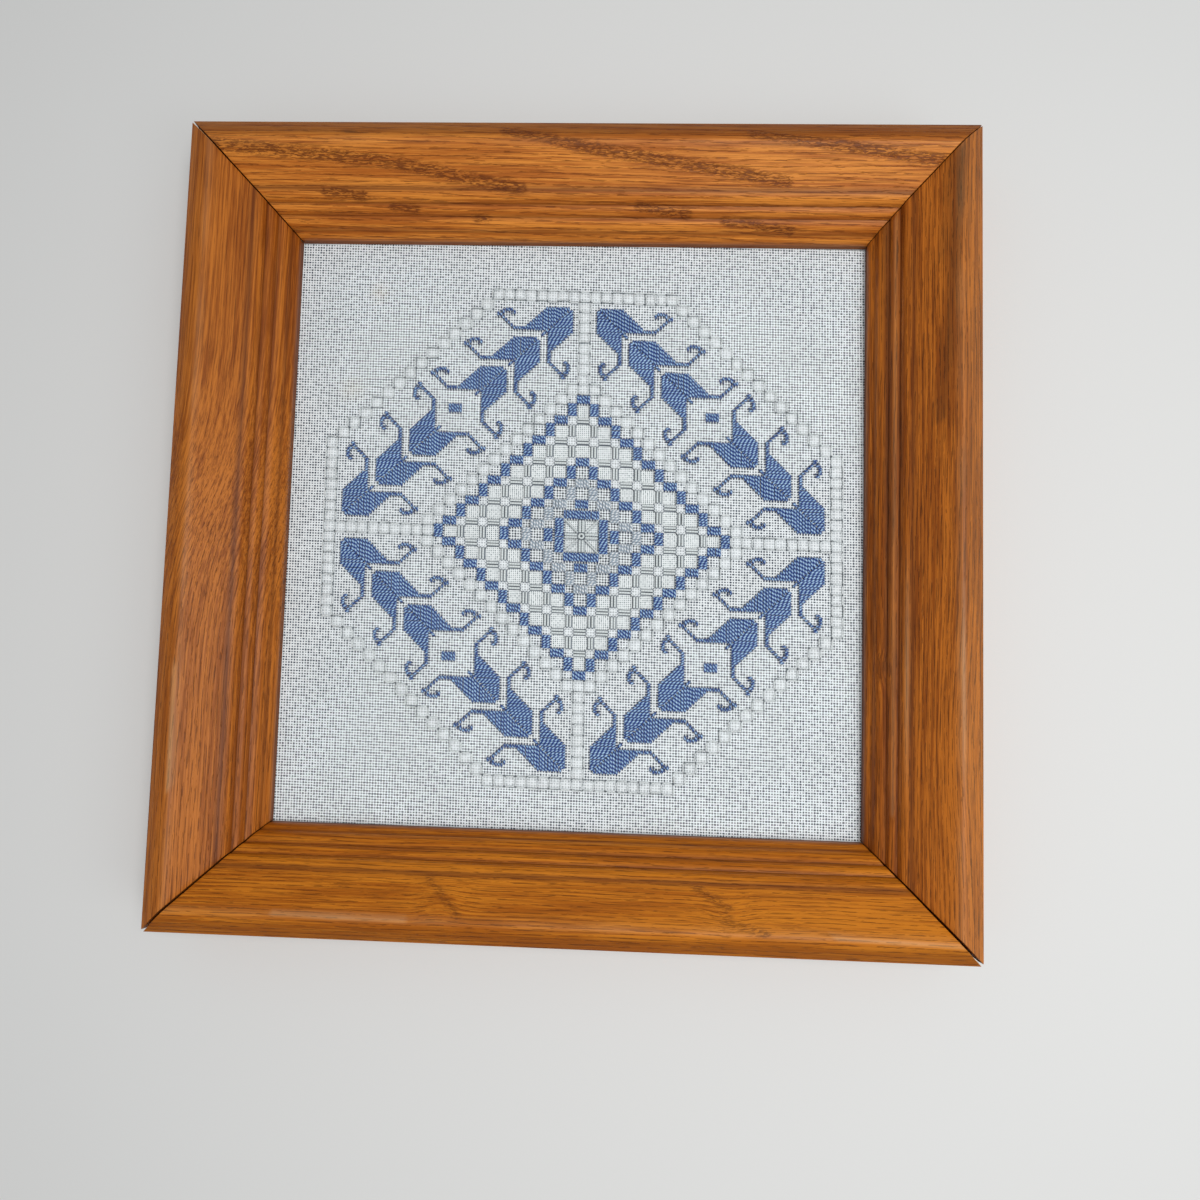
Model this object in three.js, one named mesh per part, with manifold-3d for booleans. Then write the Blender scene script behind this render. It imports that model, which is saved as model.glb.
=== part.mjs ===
// Framed hardanger embroidery, lying on its back: X to the right and Y up in the picture, Z out of its face.
// Millimetres. The origin is under the middle of the frame, on the surface that its back rests on.

import * as THREE from 'three';
import { mergeVertices } from 'three/addons/utils/BufferGeometryUtils.js';
import Module from 'manifold-3d';

// Driving dimensions
const OPENING_WIDTH = 242.4;
const OPENING_HEIGHT = 248.3;
const RAIL_WIDTH = 39.3;
const REBATE_WIDTH = 6.5;
const REBATE_DEPTH = 6.5;
const FIT_GAP = 0.3;
const REBATE_CLEARANCE = 0.5;
const CLOTH_THICKNESS = 1.0;
const BACKING_THICKNESS = 1.0;
const BOARD_THICKNESS = 3.0;
const STITCH_RELIEF = 0.7;

// The thread grid of the ground cloth: place of the design's centre, pitch of the threads, how far
// the stretched cloth leans out of square, and how much the pitch shrinks with each thread to the right.
const GRID = {
  centreX: 3.74,
  centreY: -1.63,
  pitchX: 1.165,
  pitchY: 1.125,
  leanX: -0.015,
  leanY: -0.022,
  fan: 5.4e-5,
};

// Levels above the surface that the frame's back rests on
const LIP_LEVEL = REBATE_DEPTH;
const CLOTH_TOP = LIP_LEVEL - FIT_GAP;
const CLOTH_BOTTOM = CLOTH_TOP - CLOTH_THICKNESS;
const BACKING_TOP = CLOTH_BOTTOM - FIT_GAP;
const BACKING_BOTTOM = BACKING_TOP - BACKING_THICKNESS;
const BOARD_TOP = BACKING_BOTTOM - FIT_GAP;
const BOARD_BOTTOM = BOARD_TOP - BOARD_THICKNESS;

const wasm = await Module();
wasm.setup();

// Joining closed meshes

function positionsOnly(geometry) {
  const bare = geometry.clone();
  bare.deleteAttribute('normal');
  bare.deleteAttribute('uv');
  return mergeVertices(bare, 1e-4);
}

function toManifold(geometry) {
  const merged = positionsOnly(geometry);
  return new wasm.Manifold(new wasm.Mesh({
    numProp: 3,
    vertProperties: new Float32Array(merged.attributes.position.array),
    triVerts: new Uint32Array(merged.index.array),
  }));
}

function toGeometry(manifold) {
  const mesh = manifold.getMesh();
  const geometry = new THREE.BufferGeometry();
  geometry.setAttribute('position', new THREE.BufferAttribute(new Float32Array(mesh.vertProperties), 3));
  geometry.setIndex(new THREE.BufferAttribute(new Uint32Array(mesh.triVerts), 1));
  geometry.computeVertexNormals();
  return geometry;
}

function prism(shape, bottom, top) {
  const geometry = new THREE.ExtrudeGeometry(shape, { depth: top - bottom, bevelEnabled: false });
  geometry.translate(0, 0, bottom);
  return geometry;
}

function shapeOf(points) {
  return new THREE.Shape(points.map(([x, y]) => new THREE.Vector2(x, y)));
}

// Oak rails: one section, given as distance out from the sight edge and height above the lip's underside

const LIP_EDGE = { out: 0, up: 2.6 };
const GROOVES = [
  { out: 2.1, up: 8.0 },
  { out: 6.5, up: 12.3 },
  { out: 10.1, up: 15.9 },
  { out: 14.0, up: 20.3 },
];
const REED_BULGE = 0.8;
const REED_STEPS = 4;
const BAND_EDGE = { out: 29.5, up: 29.1 };
const SHOULDER_CROWN = { out: 32.3, up: 30.7 };
const OUTER_EDGE_UP = 25.8;
const SHOULDER_STEPS = 5;

function bulgedReed(from, to) {
  const along = new THREE.Vector2(to.out - from.out, to.up - from.up);
  const outward = new THREE.Vector2(-along.y, along.x).normalize();
  const points = [];
  for (let i = 1; i < REED_STEPS; i += 1) {
    const t = i / REED_STEPS;
    const rise = REED_BULGE * Math.sin(Math.PI * t);
    points.push([from.out + along.x * t + outward.x * rise, from.up + along.y * t + outward.y * rise]);
  }
  points.push([to.out, to.up]);
  return points;
}

function shoulder() {
  const curve = new THREE.QuadraticBezierCurve(
    new THREE.Vector2(BAND_EDGE.out, BAND_EDGE.up),
    new THREE.Vector2(SHOULDER_CROWN.out, SHOULDER_CROWN.up),
    new THREE.Vector2(RAIL_WIDTH, OUTER_EDGE_UP),
  );
  return curve.getPoints(SHOULDER_STEPS).map((p) => [p.x, p.y]);
}

function railSection() {
  const points = [[REBATE_WIDTH, 0], [0, 0], [LIP_EDGE.out, LIP_EDGE.up]];
  let from = LIP_EDGE;
  for (const groove of GROOVES) {
    points.push(...bulgedReed(from, groove));
    from = groove;
  }
  points.push(...shoulder());
  points.push([RAIL_WIDTH, -REBATE_DEPTH], [REBATE_WIDTH, -REBATE_DEPTH]);
  return points;
}

// Open mitres: how wide each joint gapes at the sight edge and at the outer edge
const MITRES = {
  topLeft: { inner: 0.35, outer: 0.6 },
  topRight: { inner: 0.3, outer: 0.35 },
  bottomRight: { inner: 0.35, outer: 1.1 },
  bottomLeft: { inner: 0.4, outer: 1.1 },
};

// A rail is built along +X with its sight edge on Y = 0 and its outer edge on +Y, then turned into place.
function railGeometry(openingLength, startMitre, endMitre) {
  const section = railSection().map(([out, up]) => [out, up + LIP_LEVEL]);
  const geometry = new THREE.ExtrudeGeometry(shapeOf(section), { depth: 1, bevelEnabled: false, steps: 1 });
  const position = geometry.attributes.position;
  for (let i = 0; i < position.count; i += 1) {
    const out = position.getX(i);
    const up = position.getY(i);
    const atEnd = position.getZ(i) > 0.5;
    const mitre = atEnd ? endMitre : startMitre;
    const gape = THREE.MathUtils.lerp(mitre.inner, mitre.outer, out / RAIL_WIDTH);
    const reach = openingLength / 2 + out - gape / Math.SQRT2;
    position.setXYZ(i, atEnd ? reach : -reach, out, up);
  }
  const merged = positionsOnly(geometry);
  merged.computeVertexNormals();
  return merged;
}

// The stitch chart, in threads from the design's centre

const BLOCK = { stitches: 5, threads: 4 };
const OUTER_RING_REACH = 52;
const INNER_RING_REACH = 28;
const PALE_RING_REACH = 20;
const CUT_RING = { nearest: 4, farthest: 6, step: 8 };
const BAR_HALF = 1.2;
const CUT_HALF = 2;
const HOLE_CORNER = 0.7;
const WINDOW_HALF = 6;
const SPOKE_HALF = 0.5;
const SQUARE_MOTIF = { near: 45, far: 49 };
const SPRIG_TIPS = [{ x: 4, y: 88 }, { x: 16, y: 76 }, { x: 28, y: 64 }];
const LOBE = [[2, 0], [10.5, 0], [18.5, 8], [23.5, 8], [23.5, 10], [10, 10], [1.2, 1.2]];
const CURL = [[22.5, 9], [26, 5.4], [27.4, 3.8], [26.6, 2.3], [24.4, 2], [22.8, 3.6]];
const CURL_HALF = 1;
const TAIL = { from: 9.4, to: 12.6, half: 0.7 };

function onCloth(x, y) {
  return [
    GRID.centreX + (GRID.pitchX - GRID.fan * x) * x + GRID.leanX * y,
    GRID.centreY + (GRID.pitchY - GRID.fan * x) * y + GRID.leanY * x,
  ];
}

function clothShape(threads) {
  const points = threads.map(([x, y]) => onCloth(x, y));
  const shape = shapeOf(points);
  return THREE.ShapeUtils.isClockWise(shape.getPoints()) ? shapeOf(points.reverse()) : shape;
}

function rectangle(left, right, bottom, top) {
  return [[left, bottom], [right, bottom], [right, top], [left, top]];
}

const QUADRANTS = [[1, 1], [-1, 1], [1, -1], [-1, -1]];

function inEachQuadrant(points) {
  return QUADRANTS.map(([signX, signY]) => points.map(([x, y]) => [signX * x, signY * y]));
}

function swapped(points) {
  return points.map(([x, y]) => [y, x]);
}

// Each place (x, y) of the first quadrant stands for up to four, one in each quadrant.
function mirroredPlaces(x, y) {
  const places = [[x, y]];
  if (x !== 0) places.push([-x, y]);
  if (y !== 0) places.push([x, -y]);
  if (x !== 0 && y !== 0) places.push([-x, -y]);
  return places;
}

function ringOfBlocks(reach) {
  const blocks = [];
  for (let along = 0; along < reach; along += 2 * BLOCK.threads) {
    for (const [x, y] of mirroredPlaces(along, reach - along)) {
      const wide = rectangle(-BLOCK.stitches / 2, BLOCK.stitches / 2, -BLOCK.threads / 2, BLOCK.threads / 2);
      blocks.push(wide.map(([dx, dy]) => [x + dx, y + dy]));
      blocks.push(wide.map(([dx, dy]) => [y + dy, x + dx]));
    }
  }
  return blocks;
}

// A long bar of stitches and a block on it, on each of the four sides of the window
function centreMotif() {
  const barHalf = WINDOW_HALF + 0.5;
  const barTop = WINDOW_HALF + BLOCK.threads;
  const bar = rectangle(-barHalf, barHalf, WINDOW_HALF, barTop);
  const tip = rectangle(-BLOCK.stitches / 2, BLOCK.stitches / 2, barTop - 0.5, barTop + BLOCK.threads);
  const shapes = [];
  for (const piece of [bar, tip]) {
    const below = piece.map(([x, y]) => [x, -y]);
    shapes.push(piece, below, swapped(piece), swapped(below));
  }
  return shapes;
}

function strip(route, half) {
  const left = [];
  const right = [];
  for (let i = 0; i < route.length; i += 1) {
    const before = route[Math.max(i - 1, 0)];
    const after = route[Math.min(i + 1, route.length - 1)];
    const along = new THREE.Vector2(after[0] - before[0], after[1] - before[1]).normalize();
    left.push([route[i][0] - along.y * half, route[i][1] + along.x * half]);
    right.push([route[i][0] + along.y * half, route[i][1] - along.x * half]);
  }
  return left.concat(right.reverse());
}

// One sprig has two lobes, mirrored about the diagonal through its tip, each ending in a curl.
function sprigPieces() {
  const curl = strip(CURL, CURL_HALF);
  const tail = strip([[TAIL.from, TAIL.from], [TAIL.to, TAIL.to]], TAIL.half);
  return [LOBE, curl, swapped(LOBE), swapped(curl), tail];
}

function sprigs() {
  const shapes = [];
  for (const tip of SPRIG_TIPS) {
    for (const piece of sprigPieces()) {
      const placed = piece.map(([u, v]) => [tip.x + u, tip.y - v]);
      shapes.push(...inEachQuadrant(placed), ...inEachQuadrant(swapped(placed)));
    }
  }
  return shapes;
}

function squareMotifs() {
  const { near, far } = SQUARE_MOTIF;
  return inEachQuadrant(rectangle(near, far, near, far));
}

// Holes cut in the cloth

function isCut(i, j) {
  const ring = Math.abs(i) + Math.abs(j);
  return ring >= CUT_RING.nearest && ring <= CUT_RING.farthest;
}

// A side next to another hole is a drawn-in bar, and any other side is the edge of a stitched block.
function cutHole(i, j) {
  const reachTo = (di, dj) => (isCut(i + di, j + dj) ? CUT_RING.step / 2 - BAR_HALF : CUT_HALF);
  const left = CUT_RING.step * i - reachTo(-1, 0);
  const right = CUT_RING.step * i + reachTo(1, 0);
  const bottom = CUT_RING.step * j - reachTo(0, -1);
  const top = CUT_RING.step * j + reachTo(0, 1);
  const c = HOLE_CORNER;
  return [
    [left + c, bottom], [right - c, bottom], [right, bottom + c], [right, top - c],
    [right - c, top], [left + c, top], [left, top - c], [left, bottom + c],
  ];
}

function cutHoles() {
  const holes = [];
  const far = CUT_RING.farthest;
  for (let i = -far; i <= far; i += 1) {
    for (let j = -far; j <= far; j += 1) {
      if (isCut(i, j)) holes.push(cutHole(i, j));
    }
  }
  return holes;
}

// The window in the middle keeps eight spokes, so eight triangles are cut out of it.
function windowHoles() {
  const inner = SPOKE_HALF;
  const diagonal = SPOKE_HALF * Math.SQRT2;
  const triangle = [[inner + diagonal, inner], [WINDOW_HALF, inner], [WINDOW_HALF, WINDOW_HALF - diagonal]];
  return [...inEachQuadrant(triangle), ...inEachQuadrant(swapped(triangle))];
}

// Sheets, stretched over a board in the rebate

function sheetOutline() {
  const margin = REBATE_WIDTH - REBATE_CLEARANCE;
  const halfWidth = OPENING_WIDTH / 2 + margin;
  const halfHeight = OPENING_HEIGHT / 2 + margin;
  return rectangle(-halfWidth, halfWidth, -halfHeight, halfHeight);
}

function hardangerCloth() {
  const outline = shapeOf(sheetOutline());
  for (const hole of [...cutHoles(), ...windowHoles()]) {
    outline.holes.push(clothShape(hole));
  }
  const sheet = toManifold(prism(outline, CLOTH_BOTTOM, CLOTH_TOP));
  const stitched = [
    ...ringOfBlocks(OUTER_RING_REACH),
    ...ringOfBlocks(INNER_RING_REACH),
    ...ringOfBlocks(PALE_RING_REACH),
    ...centreMotif(),
    ...sprigs(),
    ...squareMotifs(),
  ];
  const middle = (CLOTH_TOP + CLOTH_BOTTOM) / 2;
  const top = CLOTH_TOP + STITCH_RELIEF;
  const raised = stitched.map((points) => toManifold(prism(clothShape(points), middle, top)));
  const relief = wasm.Manifold.union(raised);
  return toGeometry(sheet.add(relief));
}

function plainSheet(bottom, top) {
  return prism(shapeOf(sheetOutline()), bottom, top);
}

// Materials

function material(color, roughness) {
  return new THREE.MeshStandardMaterial({ color, roughness, metalness: 0 });
}

const oak = material(0xb06c2e, 0.4);
const linen = material(0xd2d5d8, 0.95);
const backingLinen = material(0xdfe6ec, 0.95);
const board = material(0xc9bfa8, 0.9);

// Assembly

const part = new THREE.Group();

function addMesh(name, geometry, surface, parent = part) {
  const mesh = new THREE.Mesh(geometry, surface);
  mesh.name = name;
  parent.add(mesh);
}

const RAILS = [
  { name: 'oak_rail_top', turn: 0, start: 'topLeft', end: 'topRight' },
  { name: 'oak_rail_left', turn: 90, start: 'bottomLeft', end: 'topLeft' },
  { name: 'oak_rail_bottom', turn: 180, start: 'bottomRight', end: 'bottomLeft' },
  { name: 'oak_rail_right', turn: -90, start: 'topRight', end: 'bottomRight' },
];

for (const rail of RAILS) {
  const side = new THREE.Group();
  side.rotation.z = THREE.MathUtils.degToRad(rail.turn);
  const acrossPicture = rail.turn % 180 === 0;
  const length = acrossPicture ? OPENING_WIDTH : OPENING_HEIGHT;
  const reach = (acrossPicture ? OPENING_HEIGHT : OPENING_WIDTH) / 2;
  const geometry = railGeometry(length, MITRES[rail.start], MITRES[rail.end]);
  geometry.translate(0, reach, 0);
  addMesh(rail.name, geometry, oak, side);
  part.add(side);
}

addMesh('hardanger_cloth', hardangerCloth(), linen);
addMesh('backing_cloth', plainSheet(BACKING_BOTTOM, BACKING_TOP), backingLinen);
addMesh('mounting_board', plainSheet(BOARD_BOTTOM, BOARD_TOP), board);

export default part;
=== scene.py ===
"""The looks of a framed hardanger embroidery: oak, woven cloth and every stitch of its thread."""

import math
from functools import partialmethod

import bpy
import numpy as np
from mathutils import Matrix, Vector


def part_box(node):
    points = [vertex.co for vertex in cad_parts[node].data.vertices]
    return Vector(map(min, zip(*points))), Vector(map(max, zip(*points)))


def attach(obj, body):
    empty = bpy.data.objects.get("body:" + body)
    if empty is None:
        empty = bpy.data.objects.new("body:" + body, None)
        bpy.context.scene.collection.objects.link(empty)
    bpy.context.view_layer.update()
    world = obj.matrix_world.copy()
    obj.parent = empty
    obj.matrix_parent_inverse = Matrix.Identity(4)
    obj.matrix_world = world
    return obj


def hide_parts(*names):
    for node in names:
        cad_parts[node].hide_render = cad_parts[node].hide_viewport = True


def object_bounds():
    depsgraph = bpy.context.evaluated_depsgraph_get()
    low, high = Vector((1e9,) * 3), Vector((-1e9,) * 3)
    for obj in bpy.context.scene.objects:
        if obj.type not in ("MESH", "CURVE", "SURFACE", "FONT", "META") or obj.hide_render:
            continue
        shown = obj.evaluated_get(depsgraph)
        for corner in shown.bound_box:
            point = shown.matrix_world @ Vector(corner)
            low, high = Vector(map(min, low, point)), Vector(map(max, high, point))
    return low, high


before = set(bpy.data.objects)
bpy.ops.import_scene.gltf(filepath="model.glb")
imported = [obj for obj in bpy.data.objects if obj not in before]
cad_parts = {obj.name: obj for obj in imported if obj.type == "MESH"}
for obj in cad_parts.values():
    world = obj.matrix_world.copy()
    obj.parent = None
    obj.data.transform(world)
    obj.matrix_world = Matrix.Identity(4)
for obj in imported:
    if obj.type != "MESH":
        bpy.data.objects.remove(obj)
cad_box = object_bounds()

MM = 0.001

# The opening, the moulding and the levels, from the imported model
RAIL_NODES = {side: f"oak_rail_{side}" for side in ("top", "left", "bottom", "right")}
right_low, right_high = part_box(RAIL_NODES["right"])
OPENING_HALF = (right_low.x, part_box(RAIL_NODES["top"])[0].y)
RAIL_WIDTH = right_high.x - right_low.x
LIP_LEVEL = 6.5 * MM
CLOTH_TOP = LIP_LEVEL - 0.3 * MM
CLOTH_LOW, CLOTH_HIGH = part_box("hardanger_cloth")
BACKING_LOW, BACKING_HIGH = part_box("backing_cloth")
FLOOR_LEVEL = cad_box[0][2]

# The cloth's thread grid, which leans and fans a little as the cloth was stretched
GRID_CENTRE = (3.74 * MM, -1.63 * MM)
GRID_PITCH = (1.165 * MM, 1.125 * MM)
GRID_LEAN = (-0.015 * MM, -0.022 * MM)
GRID_FAN = 5.4e-5 * MM
GRID_ROUNDS = 6


def on_cloth(x, y):
    """The place in metres of a point given in cloth threads from the middle of the design."""
    across = GRID_CENTRE[0] + (GRID_PITCH[0] - GRID_FAN * x) * x + GRID_LEAN[0] * y
    up = GRID_CENTRE[1] + (GRID_PITCH[1] - GRID_FAN * x) * y + GRID_LEAN[1] * x
    return across, up


def threads_at(across, up):
    """The cloth threads at a place given in metres: on_cloth the other way round."""
    x, y = np.zeros_like(across), np.zeros_like(up)
    for _ in range(GRID_ROUNDS):
        x, y = ((across - GRID_CENTRE[0] - GRID_LEAN[0] * y) / (GRID_PITCH[0] - GRID_FAN * x),
                (up - GRID_CENTRE[1] - GRID_LEAN[1] * x) / (GRID_PITCH[1] - GRID_FAN * x))
    return x, y


# Meshes

def mesh_object(name, points, faces, material, fields=None, sharp_angle=None):
    """A smooth mesh from points and arrays of faces, with a value of each field at every point."""
    mesh = bpy.data.meshes.new(name)
    corners = np.concatenate([part.ravel() for part in faces]).astype(np.int32)
    sizes = np.concatenate([np.full(len(part), part.shape[1]) for part in faces])
    starts = np.concatenate([[0], np.cumsum(sizes)[:-1]]).astype(np.int32)
    mesh.vertices.add(len(points))
    mesh.vertices.foreach_set("co", np.asarray(points, np.float32).ravel())
    mesh.loops.add(len(corners))
    mesh.loops.foreach_set("vertex_index", corners)
    mesh.polygons.add(len(starts))
    mesh.polygons.foreach_set("loop_start", starts)
    mesh.polygons.foreach_set("use_smooth", np.ones(len(starts), bool))
    mesh.update(calc_edges=True)
    mesh.validate()
    for field, values in (fields or {}).items():
        attribute = mesh.attributes.new(field, "FLOAT_VECTOR", "POINT")
        attribute.data.foreach_set("vector", np.asarray(values, np.float32).ravel())
    if sharp_angle is not None:
        mesh.set_sharp_from_angle(angle=sharp_angle)
    mesh.materials.append(material)
    made = bpy.data.objects.new(name, mesh)
    bpy.context.scene.collection.objects.link(made)
    return made


class Pile:
    """Points and faces of many small shapes, gathered into one mesh."""

    def __init__(self):
        self.points = []
        self.faces = []
        self.fields = {}
        self.count = 0

    def add(self, points, faces, **fields):
        points = points.reshape(-1, 3)
        self.points.append(points)
        self.faces += [part.reshape(-1, part.shape[-1]) + self.count for part in faces]
        for name, values in fields.items():
            self.fields.setdefault(name, []).append(values.reshape(-1, 3))
        self.count += len(points)

    def build(self, name, material):
        fields = {key: np.concatenate(parts) for key, parts in self.fields.items()}
        return mesh_object(name, np.concatenate(self.points), self.faces, material, fields)


def tube_faces(tubes, rings, sides):
    """Quads of many tubes, each a grid of rings and sides, with an end cap at each end."""
    ring = np.arange(rings - 1)[:, None] * sides
    side = np.arange(sides)[None, :]
    after = (side + 1) % sides
    above = ring + sides
    quads = np.stack([ring + side, ring + after, above + after, above + side], -1).reshape(-1, 4)
    last = (rings - 1) * sides
    starts = np.arange(tubes)[:, None, None] * (rings * sides)
    caps = np.array([np.arange(sides)[::-1], last + np.arange(sides)])
    return quads[None] + starts, caps[None] + starts


# Shader nodes

class Shader:
    """A material whose nodes are added and joined by short calls."""

    def __init__(self, name, **surface):
        self.material = bpy.data.materials.new(name)
        self.material.use_nodes = True
        self.tree = self.material.node_tree
        self.surface = self.tree.nodes["Principled BSDF"]
        for socket, value in surface.items():
            self.surface.inputs[socket.replace("_", " ")].default_value = value

    def feed(self, socket, value):
        if isinstance(value, bpy.types.NodeSocket):
            self.tree.links.new(value, socket)
        else:
            socket.default_value = value

    def node(self, kind, inputs, **settings):
        made = self.tree.nodes.new(kind)
        for key, value in settings.items():
            setattr(made, key, value)
        for key, value in inputs.items():
            self.feed(made.inputs[key], value)
        return made

    def math(self, operation, *values):
        return self.node("ShaderNodeMath", dict(enumerate(values)), operation=operation).outputs[0]

    plus = partialmethod(math, "ADD")
    minus = partialmethod(math, "SUBTRACT")
    times = partialmethod(math, "MULTIPLY")
    over = partialmethod(math, "DIVIDE")
    larger = partialmethod(math, "MAXIMUM")
    size = partialmethod(math, "ABSOLUTE")

    def whole(self, value):
        """The nearest whole number."""
        return self.math("FLOOR", self.plus(value, 0.5))

    def length(self, across, up):
        """How long a line is that goes so far across and up."""
        return self.math("SQRT", self.plus(self.math("POWER", across, 2.0), self.math("POWER", up, 2.0)))

    def step(self, value, low, high, before=0.0, after=1.0):
        """Runs smoothly from one number to another as value goes from low to high."""
        inputs = {"Value": value, "From Min": low, "From Max": high, "To Min": before, "To Max": after}
        return self.node("ShaderNodeMapRange", inputs, interpolation_type="SMOOTHSTEP").outputs[0]

    def field(self, name):
        return self.node("ShaderNodeAttribute", {}, attribute_name=name).outputs["Vector"]

    def split(self, vector):
        return self.node("ShaderNodeSeparateXYZ", {"Vector": vector}).outputs

    def join(self, x, y, z=0.0):
        return self.node("ShaderNodeCombineXYZ", {"X": x, "Y": y, "Z": z}).outputs[0]

    def scaled(self, vector, by):
        return self.node("ShaderNodeVectorMath", {0: vector, 1: by}, operation="MULTIPLY").outputs[0]

    def noise(self, vector, scale=1.0, detail=2.0, rough=0.5, distortion=0.0):
        inputs = {"Vector": vector, "Scale": scale, "Detail": detail, "Roughness": rough,
                  "Distortion": distortion}
        return self.node("ShaderNodeTexNoise", inputs).outputs["Fac"]

    def mix(self, share, first, second):
        """A colour that runs from the first to the second as share goes from 0 to 1."""
        return self.node("ShaderNodeMix", {0: share, 6: first, 7: second}, data_type="RGBA").outputs[2]

    def colour(self, value):
        self.feed(self.surface.inputs["Base Color"], value)

    def bump(self, height, distance, strength=1.0):
        """Raises the surface by height times distance, in metres."""
        made = self.node("ShaderNodeBump", {"Height": height, "Distance": distance, "Strength": strength})
        self.feed(self.surface.inputs["Normal"], made.outputs[0])


def rgb(red, green, blue):
    """A colour on screen, from 0 to 255, as the shader's own linear numbers."""
    shares = [value / 255 for value in (red, green, blue)]
    return (*[((v + 0.055) / 1.055) ** 2.4 if v > 0.04045 else v / 12.92 for v in shares], 1.0)


# Oak

# Stain, which also paints shade in the grooves and on the outer shoulders; bare wood, which also paints
# highlights; dark streaks
STAIN_AND_SHADE_BROWN = rgb(84, 38, 14)
STREAK_BROWN = rgb(46, 30, 20)
BARE_WOOD_AND_HIGHLIGHT = rgb(226, 182, 132)


def oak(name, light, deep, pore, row_width, row_lean, seed):
    """Stained oak: rows of short pores along the grain, fine fibres, porous bands and a satin varnish.

    The field "grain" holds the millimetres along, out from and up the rail; "marks" holds how much
    stain and painted shade lie there, how bare the wood is together with its painted highlights, and how
    dark a streak is; "figure" holds how porous, how calm and how much lighter the wood is painted.
    """
    s = Shader(name, Coat_Weight=0.04, Coat_Roughness=0.25, Specular_IOR_Level=0.14)
    grain = s.field("grain")
    stained, bare_and_highlit, streaked = s.split(s.field("marks"))
    porous, calm, bright = s.split(s.field("figure"))
    along, out, up = s.split(grain)

    def drawn_out(lengthways, crossways, **settings):
        """Noise whose spots are drawn out along the grain."""
        return s.noise(s.scaled(grain, (lengthways, crossways, crossways)), **settings)

    drift = s.times(s.minus(drawn_out(0.011, 0.05, detail=2, distortion=0.4), 0.5), row_width * 1.6 + 3.0)
    depth = s.plus(s.times(up, 0.3), s.times(along, row_lean))
    depth = s.plus(s.plus(depth, out), s.plus(drift, seed * 7.3))
    row = s.math("FRACT", s.over(depth, row_width))
    in_row = s.step(s.size(s.minus(s.times(row, 2.0), 1.0)), 0.55, 1.0)

    fine = drawn_out(0.02, 1.0, detail=4, rough=0.72)
    fibre = drawn_out(0.05, 2.4, detail=3, rough=0.7)
    broad = drawn_out(0.008, 0.09, detail=2)
    dashes = drawn_out(0.15, 2.6, detail=2, rough=0.55)
    pores = s.step(s.minus(dashes, s.minus(0.66, s.times(in_row, 0.2))), 0.0, 0.06)
    pores = s.times(pores, s.minus(1.0, s.times(calm, 0.85)))
    grit = drawn_out(0.34, 2.0, detail=2, rough=0.6, distortion=0.6)
    cluster = s.times(s.step(grit, 0.45, 0.56), s.step(porous, 0.05, 0.6))

    tone = s.plus(s.times(fine, 0.65), s.times(broad, 0.35))
    wood = s.mix(s.step(tone, 0.42, 0.59), deep, light)
    wood = s.mix(s.step(fibre, 0.5, 0.66, 0.0, 0.55), wood, pore)
    wood = s.mix(s.step(fibre, 0.45, 0.32, 0.0, 0.55), wood, light)
    wood = s.mix(s.times(bright, 0.4), wood, light)
    wood = s.mix(s.times(s.step(porous, 0.1, 0.9), 0.22), wood, pore)
    wood = s.mix(s.larger(s.times(pores, 0.55), s.times(cluster, 0.78)), wood, pore)
    # The stain mark also paints shade in the grooves and on the outer shoulders
    stain = s.times(stained, s.step(fine, 0.25, 0.7, 0.75, 1.0))
    wood = s.mix(s.times(stain, 0.75), wood, STAIN_AND_SHADE_BROWN)
    wood = s.mix(s.times(streaked, s.step(fine, 0.38, 0.62, 0.35, 1.0)), wood, STREAK_BROWN)
    # The bare mark also paints highlights along crests and reeds
    wood = s.mix(s.times(bare_and_highlit, s.step(fibre, 0.3, 0.5, 0.7, 1.0)), wood, BARE_WOOD_AND_HIGHLIGHT)
    s.colour(wood)
    s.feed(s.surface.inputs["Roughness"], s.step(fibre, 0.3, 0.75, 0.4, 0.6))
    height = s.minus(s.times(fibre, 0.2), s.times(pores, 0.6))
    s.bump(s.minus(height, s.times(cluster, 0.6)), 0.14 * MM)
    return s.material


# The moulding's section, out from the sight edge and up from the underside of the lip, in millimetres
SIDE_OUT = RAIL_WIDTH / MM
REBATE_OUT = 6.5
GROOVES = ((0.0, 2.6), (2.1, 8.0), (6.5, 12.3), (10.1, 15.9), (14.0, 20.3))
REED_BULGE = 1.0
REED_STEPS = 9
BAND_EDGE = (29.5, 29.1)
BAND_STEPS = 8
SHOULDER_CROWN = (32.3, 30.7)
SHOULDER_STEPS = 12
OUTER_EDGE_UP = 25.8
BACK_UP = -6.5
BACK_STEPS = 6
# The stain and painted shade in the grooves, how fast it fades beside them, and the stain behind
GROOVE_STAIN_AND_SHADE = 0.8
GROOVE_FADE = 4.5
BAND_FADE = 9
BACK_STAIN = 0.3
REBATE_STAIN = 0.5


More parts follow.
